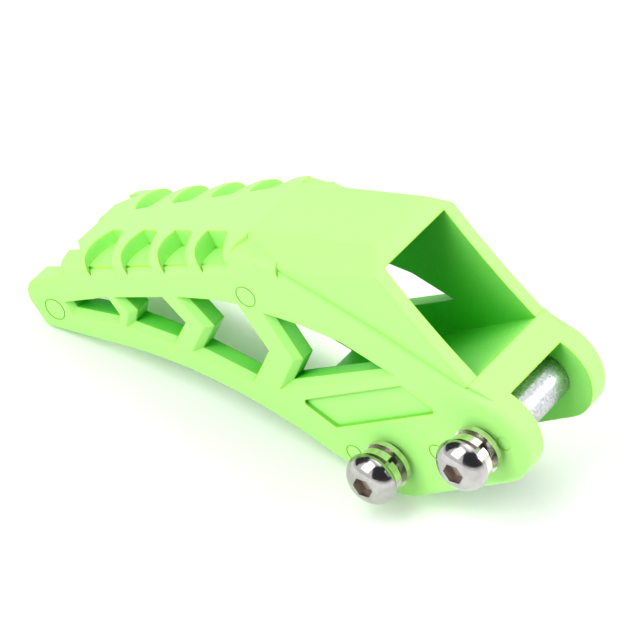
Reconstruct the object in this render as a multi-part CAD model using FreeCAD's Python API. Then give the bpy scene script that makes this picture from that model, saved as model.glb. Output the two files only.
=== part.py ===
import FreeCAD, Part
import math
import os

os.makedirs("parts", exist_ok=True)

# Chain guide for a motorcycle swing arm with its bolt kit.
# Frame: origin on the axis of the front bolt at mid width.
# X runs to the head with the chain opening, Y to the far plate, Z up.

# Main sizes: front bolt to the middle of the tail, front bolt to the tip of the head
tail_reach = 127.8
head_rise = 38.6


def side(back, up):
    # A place in side view, as shares of the reach behind the front bolt and of the rise
    return (-back * tail_reach, up * head_rise)


# Side plates
plate_half = 17.8
plate_inner = 10.7
channel_half = 12.5
channel_half_tail = 11.2
band_round = 2.0

# Bolt eyes: places in side view, radii of the outline about them
front_bolt = side(0.0, 0.0)
rear_bolt = side(0.2003, -0.4974)
eye_radius = 12.4

# Outline of the plates in side view
tail_top = side(1.0563, -0.5)
tail_rear = side(1.0650, -0.6036)
tail_flat_start = side(1.0579, -0.6788)
tail_foot = side(1.0102, -0.8446)
arch_rear = side(0.8451, -0.7098)
arch_top = side(0.6064, -0.6114)
arch_front = side(0.3443, -0.7358)
band_rear = side(0.9883, -0.3212)
band_front = side(0.5853, 0.4301)
band_peak = side(0.5282, 0.6062)
band_middle = side(0.2817, 0.5104)
band_end = side(0.0626, 0.3627)

# Head with the slanted chain opening
head_half = 16.6
head_top_half = 10.9
head_facet_drop = 5.6
head_round = 0.8
head_rear = side(0.5681, 0.6295)
head_tip = side(0.2817, 1.0)
mouth_top = side(0.2504, 0.9067)
mouth_foot = side(0.0423, 0.3731)
mouth_hollow = 0.9
roof_thickness = 4.7

# Roof over the tail, from the head's rear edge down to its end
roof_end = side(0.9920, -0.2135)
roof_depth = 8.0
crown_half = 8.7
shoulder_half = 15.4
shoulder_drop = 0.9
shoulder_side = 17.7
shoulder_edge = 3.2
end_notch_half = 12.4
end_notch_depth = 4.0

# Cheeks that lead the shoulders into the head
cheek_start = 3.0
cheek_half = 12.3
cheek_angle = 10.0
cheek_length = 14.0

# Pockets in the shoulders of the roof, their places as shares of its length
pocket_count = 4
pocket_first = 0.261
pocket_pitch = 0.2086
pocket_width = 8.1
pocket_depth = 5.0
pocket_tilt = 2.3
pocket_curve = 10.5
pocket_curve_half = 11.0
pocket_sweep = 0.4
pocket_round = 2.6
pocket_ledge_half = 15.8
spine_narrowing = 0.105

# Sloping cross wall
wall_slope = 0.745
wall_thickness = 6.8

# Windows: corners on the outer face, then the inset of the edge after each corner
chamfer_wide = 1.8
chamfer_slim = 0.5
chamfer_depth = 1.4
windows = [
    [(side(0.9750, -0.5440), chamfer_wide), (side(0.9562, -0.6244), chamfer_wide),
     (side(0.8396, -0.5052), chamfer_slim), (side(0.8388, -0.4119), chamfer_slim),
     (side(0.8670, -0.3109), chamfer_slim)],
    [(side(0.8521, -0.2876), chamfer_wide), (side(0.8177, -0.3601), chamfer_wide),
     (side(0.8247, -0.4974), chamfer_wide), (side(0.7081, -0.4430), chamfer_slim),
     (side(0.6792, -0.2021), chamfer_slim), (side(0.7347, -0.0777), chamfer_slim)],
    [(side(0.7011, -0.0181), chamfer_wide), (side(0.6362, -0.1658), chamfer_wide),
     (side(0.6667, -0.4301), chamfer_wide), (side(0.5211, -0.4404), chamfer_slim),
     (side(0.4836, -0.0959), chamfer_slim), (side(0.5571, 0.1762), chamfer_slim),
     (side(0.6158, 0.1088), chamfer_slim)],
    [(side(0.4992, 0.2021), chamfer_wide), (side(0.4280, -0.0777), chamfer_wide),
     (side(0.4609, -0.3938), chamfer_wide), (side(0.1972, 0.2021), chamfer_slim),
     (side(0.3208, 0.2720), chamfer_slim), (side(0.4147, 0.2513), chamfer_slim)],
]

# Recessed panel on the plates
panel = [side(0.4108, -0.3938), side(0.1831, 0.1451), side(0.1009, 0.0648), side(0.3279, -0.4767)]
panel_depth = 0.9
panel_round = 1.0

# Round marks left by the mould: place in side view and radius
marks = [(side(0.9984, -0.6477), 3.2), (side(0.5368, 0.2720), 3.0), (side(0.2864, -0.6218), 2.4),
         (side(0.0994, -0.2694), 2.4)]
mark_line = 0.35
mark_depth = 0.15
plug_mark = side(-0.0454, 0.0751)
plug_radius = 1.9

# Bolt kit
bolt_diameter = 8.0
bolt_clearance = 0.5
sleeve_diameter = 12.0
head_diameter = 14.0
head_height = 4.4
socket_size = 5.0
socket_depth = 2.6
flat_washer_diameter = 12.8
flat_washer_thickness = 1.5
flat_washer_gap = 1.5
spring_diameter = 12.3
spring_section = 2.1
spring_rise = 1.0
spring_gap = 1.2
head_gap = 0.9
bolt_overhang = 6.7
thread_diameter = 7.6
thread_gap = 0.4
split_width = 0.8
split_turn = 65.0
head_rim = 0.7
head_flat = 6.6
head_bulge = 0.82
head_bulge_height = 0.68
socket_cone = 0.9
socket_turn = 10.0
tip_chamfer = 0.9

# How far cutting tools run past a face
overcut = 1.0

hole_diameter = bolt_diameter + bolt_clearance
flat_washer_front = -plate_half - flat_washer_gap - flat_washer_thickness
spring_back = flat_washer_front - spring_gap
head_under = spring_back - spring_section - spring_rise - head_gap
roof_length = math.hypot(head_rear[0] - roof_end[0], head_rear[1] - roof_end[1])
roof_angle = math.degrees(math.atan2(head_rear[1] - roof_end[1], head_rear[0] - roof_end[0]))
top_slope = (head_tip[1] - head_rear[1]) / (head_tip[0] - head_rear[0])
reach = 3.0 * tail_reach


def vec(x, y, z):
    return FreeCAD.Vector(x, y, z)


def flat(point, y=0.0):
    return vec(point[0], y, point[1])


def polygon(points, y=0.0):
    corners = [flat(point, y) for point in points]
    return Part.makePolygon(corners + corners[:1])


def prism(wire, y_from, y_to):
    face = Part.Face(wire)
    face.translate(vec(0, y_from, 0))
    return face.extrude(vec(0, y_to - y_from, 0))


def upright(points, low, high):
    # Block over a plan outline
    face = Part.Face(Part.makePolygon([vec(x, y, low) for x, y in points + points[:1]]))
    return face.extrude(vec(0, 0, high - low))


def both_sides(shape):
    return [shape, shape.mirror(vec(0, 0, 0), vec(0, 1, 0))]


def beyond(point, normal):
    # Large block on the side of a plane that its normal points to
    block = Part.makeBox(reach, reach, reach, vec(-reach / 2, -reach / 2, 0))
    block.Placement = FreeCAD.Placement(point, FreeCAD.Rotation(vec(0, 0, 1), normal))
    return block


def line(start, end):
    return Part.LineSegment(flat(start), flat(end)).toShape()


def arc(start, middle, end):
    return Part.Arc(flat(start), flat(middle), flat(end)).toShape()


def on_circle(centre, radius, degrees):
    turn = math.radians(degrees)
    return (centre[0] + radius * math.cos(turn), centre[1] + radius * math.sin(turn))


def direction(start, end):
    return math.degrees(math.atan2(end[1] - start[1], end[0] - start[0]))


def tangent_angle(point, centre, radius, turn):
    # Direction from the centre to the point where a line from a point touches the circle
    distance = math.hypot(point[0] - centre[0], point[1] - centre[1])
    return direction(centre, point) + turn * math.degrees(math.acos(radius / distance))


def eye_arc(centre, start, end):
    # Part of an eye's outline, turning to the left from one direction to the other
    while end < start:
        end += 360.0
    return arc(on_circle(centre, eye_radius, start), on_circle(centre, eye_radius, (start + end) / 2),
               on_circle(centre, eye_radius, end))


def plate_outline():
    band_angle = direction(band_rear, band_front)
    run = band_rear[0] - tail_top[0]
    step_foot = (band_rear[0], tail_top[1] + run * math.tan(math.radians(band_angle)))
    rear_in = tangent_angle(arch_front, rear_bolt, eye_radius, 1.0)
    low = direction(rear_bolt, front_bolt) - 90.0
    top = tangent_angle(band_end, front_bolt, eye_radius, -1.0)
    edges = [
        line(step_foot, tail_top),
        arc(tail_top, tail_rear, tail_flat_start),
        line(tail_flat_start, tail_foot),
        line(tail_foot, arch_rear),
        arc(arch_rear, arch_top, arch_front),
        line(arch_front, on_circle(rear_bolt, eye_radius, rear_in)),
        eye_arc(rear_bolt, rear_in, low),
        line(on_circle(rear_bolt, eye_radius, low), on_circle(front_bolt, eye_radius, low)),
        eye_arc(front_bolt, low, top),
        line(on_circle(front_bolt, eye_radius, top), band_end),
        arc(band_end, band_middle, band_peak),
        line(band_peak, band_front),
        line(band_front, band_rear),
        line(band_rear, step_foot),
    ]
    return Part.Wire(edges)


def wall_line(x, drop=0.0):
    # Height of the cross wall's top face above or below the bolt line
    return mouth_foot[1] + wall_slope * (x - mouth_foot[0]) - drop


def spine_point(along, out):
    # A place measured along the roof from the head's rear edge, and out from its crown
    turn = math.radians(roof_angle)
    return (head_rear[0] + along * math.cos(turn) - out * math.sin(turn),
            head_rear[1] + along * math.sin(turn) + out * math.cos(turn))


def above_chord(point, start, end):
    return (end[0] - start[0]) * (point.z - start[1]) - (end[1] - start[1]) * (point.x - start[0]) > 0


def band_edges(plates):
    # Edges of the outer faces along the top band
    found = []
    for edge in plates.Edges:
        middle = edge.CenterOfMass
        on_face = abs(middle.y) > plate_half - band_round and edge.BoundBox.YLength < band_round
        if on_face and above_chord(middle, band_rear, band_end) and band_rear[0] < middle.x < band_end[0]:
            found.append(edge)
    return found


def make_plates():
    plates = prism(plate_outline(), -plate_half, plate_half)
    return plates.makeFillet(band_round, band_edges(plates))


def make_head():
    mid = ((head_tip[0] + mouth_foot[0]) / 2, (head_tip[1] + mouth_foot[1]) / 2)
    tilt = math.atan2(head_tip[1] - mouth_foot[1], mouth_foot[0] - head_tip[0])
    hollow = (mid[0] - mouth_hollow * math.sin(tilt), mid[1] - mouth_hollow * math.cos(tilt))
    rear_low = (head_rear[0], band_front[1] - head_facet_drop)
    foot_low = (mouth_foot[0] - wall_thickness / 2, mouth_foot[1] - wall_thickness)
    profile = Part.Wire([
        line(head_rear, head_tip),
        arc(head_tip, hollow, mouth_foot),
        line(mouth_foot, foot_low),
        line(foot_low, rear_low),
        line(rear_low, head_rear),
    ])
    head = prism(profile, -head_half, head_half)
    across = vec(0, head_half - head_top_half, -head_facet_drop)
    corner = beyond(vec(head_tip[0], head_top_half, head_tip[1]), vec(1, 0, top_slope).cross(across))
    head = head.cut(both_sides(corner))
    soft = []
    for edge in head.Edges:
        middle = edge.CenterOfMass
        if middle.x > head_rear[0] + head_round and middle.z > mouth_foot[1] + head_round:
            soft.append(edge)
    return head.makeFillet(head_round, soft)


def roof_profile(side_sign):
    # Half of the section: level crown, long round shoulder, tighter round edge, side
    deep = -roof_depth - shoulder_drop
    width = shoulder_half - crown_half
    bow_radius = (width ** 2 + shoulder_drop ** 2) / (2 * shoulder_drop)
    bow = math.asin(width / bow_radius)

    def spot(y, n):
        return vec(0, side_sign * y, n)

    def on_bow(angle, radius):
        return (crown_half + radius * math.sin(angle), -bow_radius + radius * math.cos(angle))

    crown = spot(crown_half, 0)
    knee = spot(shoulder_half, -shoulder_drop)
    middle = spot(*on_bow(bow / 2, bow_radius))
    edge = spot(shoulder_side, -shoulder_edge)
    # The tighter arc starts in the bow's direction and ends at the side
    chord = vec(0, shoulder_side - shoulder_half, shoulder_drop - shoulder_edge)
    lean = math.atan2(-chord.z, chord.y) - bow
    bulge = chord.Length / 2 * math.tan(lean / 2)
    turn = vec(0, side_sign * ((shoulder_half + shoulder_side) / 2 - bulge * chord.z / chord.Length),
               -(shoulder_drop + shoulder_edge) / 2 + bulge * chord.y / chord.Length)
    foot = spot(shoulder_side, deep)
    inner = spot(0, deep)
    return Part.Face(Part.Wire([
        Part.LineSegment(spot(0, 0), crown).toShape(),
        Part.Arc(crown, middle, knee).toShape(),
        Part.Arc(knee, turn, edge).toShape(),
        Part.LineSegment(edge, foot).toShape(),
        Part.LineSegment(foot, inner).toShape(),
        Part.LineSegment(inner, spot(0, 0)).toShape(),
    ]))


def pocket_tool(number):
    # Curved rear wall, swept front wall, and no floor outside the ledge
    left = -roof_length * (pocket_first + number * pocket_pitch)
    right = left + pocket_width
    first = -roof_length * pocket_first
    half_left = crown_half + spine_narrowing * (left - first)
    half_right = crown_half + spine_narrowing * (right - first)
    far = shoulder_side + overcut

    def on_curve(half):
        away = half - pocket_curve_half
        return vec(left + pocket_curve - math.sqrt(pocket_curve ** 2 - away ** 2), half, 0)

    front = vec(right + pocket_sweep * (half_right - crown_half), half_right, 0)
    front_far = vec(right + pocket_sweep * (far - crown_half), far, 0)
    outline = Part.Wire([
        Part.Arc(on_curve(half_left), on_curve((half_left + far) / 2), on_curve(far)).toShape(),
        Part.LineSegment(on_curve(far), front_far).toShape(),
        Part.LineSegment(front_far, front).toShape(),
        Part.LineSegment(front, on_curve(half_left)).toShape(),
    ])
    tool = Part.Face(outline).extrude(vec(0, 0, 3 * roof_depth))
    corner = []
    for edge in tool.Edges:
        if edge.CenterOfMass.sub(front).cross(vec(0, 0, 1)).Length < pocket_round / 2:
            corner.append(edge)
    tool = tool.makeFillet(pocket_round, corner)
    outer = Part.makeBox(reach, reach, reach, vec(-reach / 2, pocket_ledge_half, -reach / 2))
    inner = tool.cut(outer)
    inner.translate(vec(0, 0, -pocket_depth))
    outer = tool.common(outer)
    outer.translate(vec(0, 0, -2 * roof_depth))
    tool = inner.fuse(outer)
    tool.rotate(vec(-pocket_first * roof_length, 0, -pocket_depth), vec(0, 1, 0), pocket_tilt)
    return tool


def make_roof():
    pieces = []
    for side_sign in (1, -1):
        half = roof_profile(side_sign)
        bar = half.extrude(vec(roof_length, 0, 0))
        bar.translate(vec(-roof_length, 0, 0))
        pieces.append(bar)
        lead = math.radians(roof_angle - cheek_angle)
        cheek = half.extrude(vec(cheek_length * math.cos(lead), 0, -cheek_length * math.sin(lead)))
        cheek.translate(vec(-cheek_start, 0, 0))
        pieces.append(cheek)
    roof = pieces[0].fuse(pieces[2])
    corner = upright([(0, cheek_half), (0, reach), (-cheek_start, reach), (-cheek_start, shoulder_side)],
                     -reach, reach)
    notch = upright([(-roof_length + end_notch_depth, end_notch_half), (-roof_length, crown_half),
                     (-roof_length, end_notch_half)], -roof_depth, roof_depth)
    roof = roof.cut(both_sides(corner) + both_sides(notch))
    for number in range(pocket_count):
        roof = roof.cut(both_sides(pocket_tool(number)))
    roof = roof.fuse([pieces[1], pieces[3]]).removeSplitter()
    roof.rotate(vec(0, 0, 0), vec(0, 1, 0), -roof_angle)
    roof.translate(flat(head_rear))
    return roof


def channel():
    ceiling = roof_thickness * math.hypot(1, top_slope)
    bend_x = head_rear[0] + crown_half
    bend = (bend_x, head_rear[1] + top_slope * crown_half - ceiling)
    deep = spine_point(-cheek_start, -roof_depth)
    tip_low = spine_point(-roof_length, -roof_depth)
    tip_high = spine_point(-roof_length, cheek_start)
    behind = -2 * tail_reach
    ahead = head_rise
    over = mouth_top[1] + head_rise
    region = polygon([(ahead, wall_line(ahead)), (ahead, over), (mouth_top[0] + head_rise, over), mouth_top,
                      bend, deep, tip_low, tip_high, (behind, tip_high[1]), (behind, wall_line(behind)),
                      mouth_foot])
    taper = (channel_half - channel_half_tail) / (band_front[0] - tail_top[0])
    narrow = channel_half - taper * (band_front[0] - behind)
    half_plan = [(ahead, channel_half), (band_front[0], channel_half), (behind, narrow)]
    other_half = [(x, -y) for x, y in reversed(half_plan)]
    return prism(region, -reach, reach).common(upright(half_plan + other_half, -reach, reach))


def lower_bay():
    drop = wall_thickness * math.hypot(1, wall_slope)
    ahead = eye_radius + eye_radius
    behind = rear_bolt[0] - 3 * eye_radius
    floor = -tail_reach
    region = polygon([(ahead, wall_line(ahead, drop)), (behind, wall_line(behind, drop)),
                      (behind, floor), (ahead, floor)])
    return prism(region, -plate_inner, plate_inner)


def inset_polygon(corners):
    # Each edge moved inwards by its own amount, the new corners where they meet
    moved = []
    for number, (start, shift) in enumerate(corners):
        end = corners[(number + 1) % len(corners)][0]
        size = math.hypot(end[0] - start[0], end[1] - start[1])
        along = ((end[0] - start[0]) / size, (end[1] - start[1]) / size)
        moved.append((start[0] - along[1] * shift, start[1] + along[0] * shift, along))
    result = []
    for number, (x2, z2, second) in enumerate(moved):
        x1, z1, first = moved[number - 1]
        bottom = first[0] * second[1] - first[1] * second[0]
        travel = ((x2 - x1) * second[1] - (z2 - z1) * second[0]) / bottom
        result.append((x1 + travel * first[0], z1 + travel * first[1]))
    return result


def window_cuts():
    cuts = []
    for corners in windows:
        outer = [place for place, shift in corners]
        inner = inset_polygon(corners)
        cuts.append(prism(polygon(inner), -plate_half, -channel_half_tail + overcut))
        inner_wire = polygon(inner, -plate_half + chamfer_depth)
        cuts.append(Part.makeLoft([inner_wire, polygon(outer, -plate_half)], True, True))
    return [shape for cut in cuts for shape in both_sides(cut)]


def panel_cuts():
    recess = prism(polygon(panel), -plate_half, -plate_half + panel_depth)
    corners = [edge for edge in recess.Edges if edge.BoundBox.YLength > panel_depth / 2]
    return both_sides(recess.makeFillet(panel_round, corners))


def bolt_holes():
    start = -plate_half - overcut
    return [Part.makeCylinder(hole_diameter / 2, -2 * start, flat(centre, start), vec(0, 1, 0))
            for centre in (front_bolt, rear_bolt)]


def mark_cuts():
    cuts = []
    for place, radius in marks:
        cuts.append(ring(2 * radius, 2 * (radius - mark_line), flat(place, -plate_half), mark_depth))
    cuts.append(Part.makeCylinder(plug_radius, mark_depth, flat(plug_mark, -plate_half), vec(0, 1, 0)))
    return [shape for cut in cuts for shape in both_sides(cut)]


def make_body():
    body = make_plates().fuse([make_head(), make_roof()])
    body = body.cut([channel(), lower_bay()])
    body = body.cut(window_cuts() + panel_cuts() + bolt_holes() + mark_cuts())
    return body.removeSplitter()


def lowered(centre, drop):
    return (centre[0], centre[1] - drop)


def ring(outer, inner, start, thickness):
    tube = Part.makeCylinder(outer / 2, thickness, start, vec(0, 1, 0))
    return tube.cut(Part.makeCylinder(inner / 2, thickness, start, vec(0, 1, 0)))


def make_sleeve(centre):
    return ring(sleeve_diameter, hole_diameter, flat(centre, -plate_inner), 2 * plate_inner)


def make_flat_washer(centre):
    # The washer hangs on the shank, which lies on the lower side of the holes
    start = flat(lowered(centre, bolt_clearance), flat_washer_front)
    return ring(flat_washer_diameter, hole_diameter, start, flat_washer_thickness)


def make_spring_washer(centre):
    # One turn of a coil, its ends apart by the split
    inner = hole_diameter / 2
    outer = spring_diameter / 2
    middle = (inner + outer) / 2
    turns = 1.0 - split_width / (2 * math.pi * middle)
    coil = Part.makeHelix(spring_rise, spring_rise * turns, middle)
    section = Part.makePolygon([vec(inner, 0, 0), vec(outer, 0, 0), vec(outer, 0, spring_section),
                                vec(inner, 0, spring_section), vec(inner, 0, 0)])
    washer = Part.Wire(coil.Edges).makePipeShell([section], True, True)
    washer.rotate(vec(0, 0, 0), vec(0, 0, 1), split_turn)
    washer.rotate(vec(0, 0, 0), vec(1, 0, 0), 90.0)
    washer.translate(flat(lowered(centre, bolt_clearance), spring_back))
    return washer


def make_screw(centre):
    seat = flat(lowered(centre, bolt_clearance / 2), head_under)
    radius = head_diameter / 2
    profile = Part.Wire([
        Part.LineSegment(vec(0, 0, 0), vec(radius, 0, 0)).toShape(),
        Part.LineSegment(vec(radius, 0, 0), vec(radius, 0, head_rim)).toShape(),
        Part.Arc(vec(radius, 0, head_rim), vec(radius * head_bulge, 0, head_height * head_bulge_height),
                 vec(head_flat / 2, 0, head_height)).toShape(),
        Part.LineSegment(vec(head_flat / 2, 0, head_height), vec(0, 0, head_height)).toShape(),
        Part.LineSegment(vec(0, 0, head_height), vec(0, 0, 0)).toShape(),
    ])
    head = Part.Face(profile).revolve(vec(0, 0, 0), vec(0, 0, 1), 360)
    corner = socket_size / math.sqrt(3)
    floor = head_height - socket_depth
    hexagon = []
    for number in range(7):
        turn = math.radians(60 * number)
        hexagon.append(vec(corner * math.cos(turn), corner * math.sin(turn), floor))
    socket = Part.Face(Part.makePolygon(hexagon)).extrude(vec(0, 0, socket_depth))
    cone = Part.makeCone(0, corner, socket_cone, vec(0, 0, floor - socket_cone))
    head = head.cut([socket, cone])
    head.rotate(vec(0, 0, 0), vec(0, 0, 1), socket_turn)
    head.rotate(vec(0, 0, 0), vec(1, 0, 0), 90.0)
    head.translate(seat)
    neck = plate_half + thread_gap
    shank = Part.makeCylinder(bolt_diameter / 2, neck - head_under, seat, vec(0, 1, 0))
    end_seat = flat(lowered(centre, bolt_clearance / 2), neck)
    end = Part.makeCylinder(thread_diameter / 2, bolt_overhang - thread_gap, end_seat, vec(0, 1, 0))
    tip = []
    for edge in end.Edges:
        if edge.BoundBox.YLength < tip_chamfer and edge.CenterOfMass.y > neck + thread_gap:
            tip.append(edge)
    return head.fuse([shank, end.makeChamfer(tip_chamfer, tip)]).removeSplitter()


def save(name, shape):
    shape.exportStep("parts/" + name + ".step")
    print(name, shape.isValid(), len(shape.Solids), round(shape.Volume))


save("guide_body", make_body())
for place, centre in (("front", front_bolt), ("rear", rear_bolt)):
    save(place + "_sleeve", make_sleeve(centre))
    save(place + "_flat_washer", make_flat_washer(centre))
    save(place + "_spring_washer", make_spring_washer(centre))
    save(place + "_screw", make_screw(centre))
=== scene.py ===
import bmesh
import bpy
import math
from mathutils import Matrix, Vector


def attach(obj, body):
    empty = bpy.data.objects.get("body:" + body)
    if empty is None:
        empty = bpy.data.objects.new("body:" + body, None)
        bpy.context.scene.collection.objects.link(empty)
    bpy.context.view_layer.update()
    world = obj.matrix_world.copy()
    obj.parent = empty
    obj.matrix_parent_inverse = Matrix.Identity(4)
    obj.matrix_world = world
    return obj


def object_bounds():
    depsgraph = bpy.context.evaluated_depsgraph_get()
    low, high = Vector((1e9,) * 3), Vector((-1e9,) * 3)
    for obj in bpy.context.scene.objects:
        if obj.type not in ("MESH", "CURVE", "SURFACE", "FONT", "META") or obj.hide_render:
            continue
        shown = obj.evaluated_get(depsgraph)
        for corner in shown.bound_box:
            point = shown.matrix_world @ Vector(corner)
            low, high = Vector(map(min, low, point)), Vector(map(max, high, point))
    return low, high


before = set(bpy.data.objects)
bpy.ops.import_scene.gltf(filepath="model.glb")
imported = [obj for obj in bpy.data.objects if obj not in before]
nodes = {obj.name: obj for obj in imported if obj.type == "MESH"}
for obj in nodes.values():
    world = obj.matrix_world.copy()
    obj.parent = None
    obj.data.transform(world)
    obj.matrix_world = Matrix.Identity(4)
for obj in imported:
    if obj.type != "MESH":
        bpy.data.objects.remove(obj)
cad_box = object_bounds()
scene = bpy.context.scene
scene.view_settings.view_transform = "Standard"

# Lengths are in metres where nothing else is said, and angles in degrees
MILLIMETRE = 0.001

# Samples that the edge and closeness nodes take in a material
EDGE_SAMPLES = 6
CLOSENESS_SAMPLES = 8

# Camera at the photograph's viewing angle
CAMERA_PLACE = Vector((0.4519, -0.72954, 0.82493))
CAMERA_RIGHT = Vector((0.81895, 0.57387, 0.0))
CAMERA_UP = Vector((-0.39137, 0.55851, 0.73137))
CAMERA_BACK = Vector((0.41971, -0.59895, 0.68199))
CAMERA_LENS = 281.25
CAMERA_SENSOR = 36.0
CAMERA_NEAR = 0.01

# Plastic: colours in linear light: its own colour on open faces, a painted highlight along
# edges, and painted shade in closed spaces and creases
LIME = (0.395, 0.85, 0.21, 1.0)
LIME_EDGE_HIGHLIGHT = (0.5, 0.88, 0.08, 1.0)
LIME_PAINTED_SHADE = (0.008, 0.46, 0.004, 1.0)
EDGE_RADIUS = 0.0008
EDGE_HIGHLIGHT_FACING = (0.86, 0.995)
PAINTED_SHADE_REACH = 0.05
PAINTED_SHADE_RANGE = (0.15, 0.93)
CREASE_SHADE_REACH = 0.0014
CREASE_SHADE_RANGE = (0.3, 0.62)
CREASE_SHADE_SHARE = 0.5
PLASTIC_GRAIN = 900.0
PLASTIC_GRAIN_DETAIL = 4.0
PLASTIC_BUMP = 0.05
PLASTIC_BUMP_HEIGHT = 0.0002
PLASTIC_ROUGHNESS = (0.36, 0.46)
PLASTIC_IOR = 1.46
PLASTIC_SPECULAR = 0.18

# Above a plane just under the roof's crown only this share of the painted shade is left, so
# the pockets in the roof stay lighter than the closed spaces below it
ROOF_NORMAL = (-0.5147, 0.0, 0.8574)
ROOF_RANGE = (0.0497, 0.0507)
ROOF_SHADE_SHARE = 0.12

# Metals: colour, darker colour, roughness from and to, stretch of the grain,
# scale of the grain and strength of its bump
EVEN = (1.0, 1.0, 1.0)
ALONG = (1.0, 0.2, 1.0)
POLISHED = ((0.48, 0.47, 0.46, 1.0), (0.4, 0.39, 0.38, 1.0), 0.1, 0.18, EVEN, 400.0, 0.03)
WORN = ((0.74, 0.71, 0.66, 1.0), (0.58, 0.55, 0.5, 1.0), 0.12, 0.26, ALONG, 700.0, 0.06)
TURNED = ((0.6, 0.61, 0.62, 1.0), (0.34, 0.35, 0.37, 1.0), 0.24, 0.4, EVEN, 1500.0, 0.3)
METAL_GRAIN_DETAIL = 5.0
METAL_BUMP_HEIGHT = 0.0001

# The screws' sockets get painted shade, a warm brown, and are duller where the screw's own
# faces close them in
SOCKET_SHADE_BROWN = (0.5, 0.42, 0.36, 1.0)
SOCKET_SHADE_REACH = 0.004
SOCKET_SHADE_RANGE = (0.45, 0.8)
SOCKET_DULL = 0.4

# Filler at the foot of the chain opening: x, z and half width of each of its edges,
# in millimetres
FOOT = [(-5.5, 14.4, 16.55), (1.5, 12.27, 15.6), (-6.6, 12.4, 16.0), (1.0, 11.8, 15.3)]

# Threads on the free ends of the screws, each about its screw's x and z. A ridge has
# its full height a third of a turn from its ends, and never less than a small share.
SCREWS = {"front": (0.0, -0.00025), "rear": (-0.0256, -0.01945)}
THREAD_FROM = 0.0187
THREAD_TO = 0.0231
THREAD_PITCH = 0.00125
THREAD_ROOT = 0.00372
THREAD_CREST = 0.004
THREAD_STEPS = 48
THREAD_HALF_WIDTH = THREAD_PITCH * 0.44
THREAD_RUNOUT = 3.0
THREAD_LEAST = 0.15

# Room: white, with dark parts given by azimuth, half width, lowest and highest
# elevation. One is behind the camera and one at the far left.
ROOM_WHITE = (1.0, 1.0, 1.0, 1.0)
ROOM_DARK = (0.05, 0.05, 0.055, 1.0)
ROOM_STRENGTH = 1.05
DARK_PARTS = ((-32.0, 56.0, 7.0, 82.0), (180.0, 30.0, 7.0, 64.0))
DARK_SOFT_SIDE = 4.0
DARK_SOFT_LEVEL = 0.04

# Lights: name, place, target, size and power in watts
LIGHTS = (
    ("key", (-0.5, -0.9, 1.1), (-0.05, 0.0, 0.0), (0.8, 1.6), 19.0),
    ("right", (0.95, 0.45, 0.55), (-0.02, 0.0, 0.0), (0.7, 0.6), 8.5),
    ("top", (0.1, 0.5, 1.4), (-0.05, 0.0, 0.0), (1.2, 1.0), 6.0),
)

# Floor
FLOOR_HALF = 3.0
FLOOR_COLOUR = (0.93, 0.93, 0.93, 1.0)
FLOOR_ROUGHNESS = 0.9
FLOOR_GLOW = (1.0, 1.0, 1.0, 1.0)
FLOOR_GLOW_STRENGTH = 0.02


def new_material(name):
    material = bpy.data.materials.new(name)
    material.use_nodes = True
    tree = material.node_tree
    shader = tree.nodes["Principled BSDF"]
    return material, tree, shader


def add(tree, kind, **values):
    # A value goes to the node's own setting of that name, or else to its socket
    node = tree.nodes.new("ShaderNode" + kind)
    for key, value in values.items():
        if hasattr(node, key):
            setattr(node, key, value)
        else:
            node.inputs[key].default_value = value
    return node


def calculate(tree, operation, *terms):
    # Each term is a number or the output of another node
    node = add(tree, "Math", operation=operation)
    for socket, term in zip(node.inputs, terms):
        if isinstance(term, float):
            socket.default_value = term
        else:
            tree.links.new(term, socket)
    return node.outputs["Value"]


def noise(tree, scale, detail, stretch=EVEN):
    place = add(tree, "TexCoord")
    mapping = add(tree, "Mapping", Scale=stretch)
    tree.links.new(place.outputs["Object"], mapping.inputs["Vector"])
    texture = add(tree, "TexNoise", Scale=scale, Detail=detail)
    tree.links.new(mapping.outputs["Vector"], texture.inputs["Vector"])
    return texture.outputs["Fac"]


def spread(tree, source, low, high, source_range=(0.35, 0.65)):
    ranged = add(tree, "MapRange")
    tree.links.new(source, ranged.inputs["Value"])
    ranged.inputs["From Min"].default_value = source_range[0]
    ranged.inputs["From Max"].default_value = source_range[1]
    ranged.inputs["To Min"].default_value = low
    ranged.inputs["To Max"].default_value = high
    return ranged.outputs["Result"]


def mix_colour(tree, factor, first, second):
    mix = add(tree, "Mix", data_type="RGBA")
    tree.links.new(factor, mix.inputs[0])
    for socket, value in ((mix.inputs[6], first), (mix.inputs[7], second)):
        if isinstance(value, tuple):
            socket.default_value = value
        else:
            tree.links.new(value, socket)
    return mix.outputs[2]


def closeness(tree, reach):
    # One in the open, falling to nought where the part's own faces close it in
    shade = add(tree, "AmbientOcclusion", samples=CLOSENESS_SAMPLES, only_local=True)
    shade.inputs["Distance"].default_value = reach
    return shade.outputs["AO"]


def bump(tree, shader, height, strength, distance, normal=None):
    node = add(tree, "Bump", Strength=strength, Distance=distance)
    tree.links.new(height, node.inputs["Height"])
    if normal is not None:
        tree.links.new(normal, node.inputs["Normal"])
    tree.links.new(node.outputs["Normal"], shader.inputs["Normal"])


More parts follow.
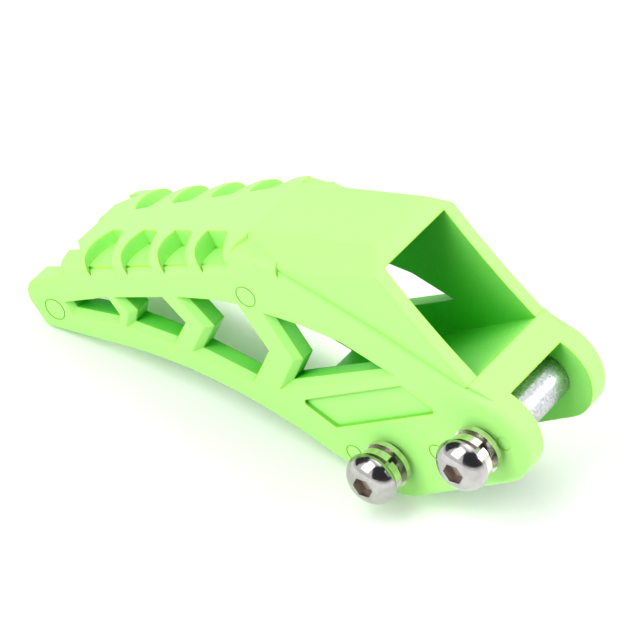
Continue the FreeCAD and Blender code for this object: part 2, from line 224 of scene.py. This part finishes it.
def plastic(name, with_edge_highlight):
    material, tree, shader = new_material(name)
    round_edge = add(tree, "Bevel", samples=EDGE_SAMPLES, Radius=EDGE_RADIUS)
    colour = LIME
    # Painted highlight: a lighter yellow-green along rounded edges, where the rounded normal
    # turns away from the face's own
    if with_edge_highlight:
        surface = add(tree, "NewGeometry")
        facing = add(tree, "VectorMath", operation="DOT_PRODUCT")
        tree.links.new(round_edge.outputs["Normal"], facing.inputs[0])
        tree.links.new(surface.outputs["Normal"], facing.inputs[1])
        edge_highlight = spread(tree, facing.outputs["Value"], 1.0, 0.0, EDGE_HIGHLIGHT_FACING)
        colour = mix_colour(tree, edge_highlight, LIME, LIME_EDGE_HIGHLIGHT)
    # Painted shade: the colour turns a deep green where the part's own faces close it in,
    # with only a small share left above the roof plane
    painted_shade = spread(tree, closeness(tree, PAINTED_SHADE_REACH), 1.0, 0.0, PAINTED_SHADE_RANGE)
    place = add(tree, "TexCoord")
    height = add(tree, "VectorMath", operation="DOT_PRODUCT")
    height.inputs[1].default_value = ROOF_NORMAL
    tree.links.new(place.outputs["Object"], height.inputs[0])
    open_air = spread(tree, height.outputs["Value"], 1.0, ROOF_SHADE_SHARE, ROOF_RANGE)
    colour = mix_colour(tree, calculate(tree, "MULTIPLY", painted_shade, open_air), colour, LIME_PAINTED_SHADE)
    # Painted shade in creases and inner corners, in the same deep green
    crease_shade = spread(tree, closeness(tree, CREASE_SHADE_REACH), CREASE_SHADE_SHARE, 0.0, CREASE_SHADE_RANGE)
    colour = mix_colour(tree, crease_shade, colour, LIME_PAINTED_SHADE)
    tree.links.new(colour, shader.inputs["Base Color"])
    grain = noise(tree, PLASTIC_GRAIN, PLASTIC_GRAIN_DETAIL)
    tree.links.new(spread(tree, grain, *PLASTIC_ROUGHNESS), shader.inputs["Roughness"])
    normal = round_edge.outputs["Normal"]
    bump(tree, shader, grain, PLASTIC_BUMP, PLASTIC_BUMP_HEIGHT, normal)
    shader.inputs["IOR"].default_value = PLASTIC_IOR
    shader.inputs["Specular IOR Level"].default_value = PLASTIC_SPECULAR
    return material


def metal(name, look, with_socket=False):
    colour, dark, rough_from, rough_to, stretch, scale, bump_strength = look
    material, tree, shader = new_material(name)
    shader.inputs["Metallic"].default_value = 1.0
    grain = noise(tree, scale, METAL_GRAIN_DETAIL, stretch)
    surface = mix_colour(tree, spread(tree, grain, 0.0, 1.0), dark, colour)
    roughness = spread(tree, grain, rough_to, rough_from)
    if with_socket:
        # Painted shade inside the sockets: a warm brown where the screw's own faces close it
        # in
        painted_shade = spread(tree, closeness(tree, SOCKET_SHADE_REACH), 1.0, 0.0, SOCKET_SHADE_RANGE)
        surface = mix_colour(tree, painted_shade, surface, SOCKET_SHADE_BROWN)
        roughness = calculate(tree, "MULTIPLY_ADD", painted_shade, SOCKET_DULL, roughness)
    tree.links.new(surface, shader.inputs["Base Color"])
    tree.links.new(roughness, shader.inputs["Roughness"])
    bump(tree, shader, grain, bump_strength, METAL_BUMP_HEIGHT)
    return material


def finish_piece(name, work, material):
    bmesh.ops.recalc_face_normals(work, faces=work.faces[:])
    mesh = bpy.data.meshes.new(name)
    work.to_mesh(mesh)
    work.free()
    mesh.materials.append(material)
    piece = bpy.data.objects.new(name, mesh)
    scene.collection.objects.link(piece)
    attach(piece, "root")


def thread(name, centre, material):
    # A ridge with three sides, wound round the free end and run out at both ends
    count = int((THREAD_TO - THREAD_FROM) / THREAD_PITCH * THREAD_STEPS)
    work = bmesh.new()
    rings = []
    for step in range(count + 1):
        angle = 2.0 * math.pi * step / THREAD_STEPS
        along = THREAD_FROM + THREAD_PITCH * step / THREAD_STEPS
        runout = THREAD_RUNOUT * min(step, count - step) / THREAD_STEPS
        height = max(min(1.0, runout), THREAD_LEAST)
        crest = THREAD_ROOT + (THREAD_CREST - THREAD_ROOT) * height
        ring = []
        for radius, shift in (
            (THREAD_ROOT, -THREAD_HALF_WIDTH),
            (crest, 0.0),
            (THREAD_ROOT, THREAD_HALF_WIDTH),
        ):
            x = centre[0] + radius * math.cos(angle)
            z = centre[1] + radius * math.sin(angle)
            ring.append(work.verts.new((x, along + shift, z)))
        rings.append(ring)
    for first, second in zip(rings, rings[1:]):
        for side in range(3):
            other = (side + 1) % 3
            work.faces.new((first[side], first[other], second[other], second[side]))
    work.faces.new(rings[0])
    work.faces.new(rings[-1])
    finish_piece(name, work, material)


def foot_filler(material):
    # Joins the lower edge of the chain opening to the plates with one slope
    work = bmesh.new()
    for x, z, half in FOOT:
        for y in (-half, half):
            work.verts.new((x * MILLIMETRE, y * MILLIMETRE, z * MILLIMETRE))
    bmesh.ops.convex_hull(work, input=work.verts[:])
    finish_piece("foot_filler", work, material)


def dress(name, material):
    for place in nodes[name].material_slots:
        place.material = material


def area_light(name, place, target, size, power):
    data = bpy.data.lights.new(name, "AREA")
    data.shape = "RECTANGLE"
    data.size, data.size_y = size
    data.energy = power
    light = bpy.data.objects.new(name, data)
    scene.collection.objects.link(light)
    light.location = place
    turn = (Vector(target) - Vector(place)).to_track_quat("-Z", "Y")
    light.rotation_euler = turn.to_euler()


def dark_part(tree, direction, azimuth, half_width, lowest, highest):
    # One where a direction lies in this part of the room, nought elsewhere
    rotate = add(tree, "VectorRotate", rotation_type="Z_AXIS", Angle=-math.radians(azimuth))
    tree.links.new(direction, rotate.inputs["Vector"])
    axes = add(tree, "SeparateXYZ")
    tree.links.new(rotate.outputs["Vector"], axes.inputs["Vector"])
    around = calculate(tree, "ARCTAN2", axes.outputs["Y"], axes.outputs["X"])
    aside = calculate(tree, "ABSOLUTE", around)
    level = axes.outputs["Z"]
    side = math.radians(half_width)
    side_range = (side - math.radians(DARK_SOFT_SIDE), side)
    bottom = math.sin(math.radians(lowest))
    top = math.sin(math.radians(highest))
    within = spread(tree, aside, 1.0, 0.0, side_range)
    above = spread(tree, level, 0.0, 1.0, (bottom, bottom + DARK_SOFT_LEVEL))
    below = spread(tree, level, 1.0, 0.0, (top - DARK_SOFT_LEVEL, top))
    return calculate(tree, "MULTIPLY", calculate(tree, "MULTIPLY", within, above), below)


def room():
    world = bpy.data.worlds.new("studio")
    world.use_nodes = True
    tree = world.node_tree
    back = tree.nodes["Background"]
    direction = add(tree, "TexCoord").outputs["Generated"]
    first, second = [dark_part(tree, direction, *part) for part in DARK_PARTS]
    dark = calculate(tree, "MAXIMUM", first, second)
    tree.links.new(mix_colour(tree, dark, ROOM_WHITE, ROOM_DARK), back.inputs["Color"])
    back.inputs["Strength"].default_value = ROOM_STRENGTH
    return world


def studio():
    low = cad_box[0][2]
    corners = ((-1, -1), (1, -1), (1, 1), (-1, 1))
    mesh = bpy.data.meshes.new("floor")
    points = [(x * FLOOR_HALF, y * FLOOR_HALF, low) for x, y in corners]
    mesh.from_pydata(points, [], [(0, 1, 2, 3)])
    floor = bpy.data.objects.new("floor", mesh)
    scene.collection.objects.link(floor)
    material, _, shader = new_material("floor_paper")
    shader.inputs["Base Color"].default_value = FLOOR_COLOUR
    shader.inputs["Roughness"].default_value = FLOOR_ROUGHNESS
    shader.inputs["Emission Color"].default_value = FLOOR_GLOW
    shader.inputs["Emission Strength"].default_value = FLOOR_GLOW_STRENGTH
    mesh.materials.append(material)
    scene.world = room()
    for light in LIGHTS:
        area_light(*light)


def camera():
    data = bpy.data.cameras.new("camera")
    data.lens = CAMERA_LENS
    data.sensor_width = CAMERA_SENSOR
    data.clip_start = CAMERA_NEAR
    eye = bpy.data.objects.new("camera", data)
    scene.collection.objects.link(eye)
    turn = Matrix((CAMERA_RIGHT, CAMERA_UP, CAMERA_BACK)).transposed().to_4x4()
    eye.matrix_world = Matrix.Translation(CAMERA_PLACE) @ turn
    scene.camera = eye


dress("guide_body", plastic("lime_plastic", True))
foot_filler(plastic("lime_plastic_fill", False))
polished = metal("polished_steel", POLISHED, True)
worn = metal("washer_steel", WORN)
turned = metal("sleeve_aluminium", TURNED)
for place in ("front", "rear"):
    dress(place + "_screw", polished)
    dress(place + "_flat_washer", worn)
    dress(place + "_spring_washer", worn)
    dress(place + "_sleeve", turned)
    thread(place + "_thread", SCREWS[place], polished)
studio()
camera()
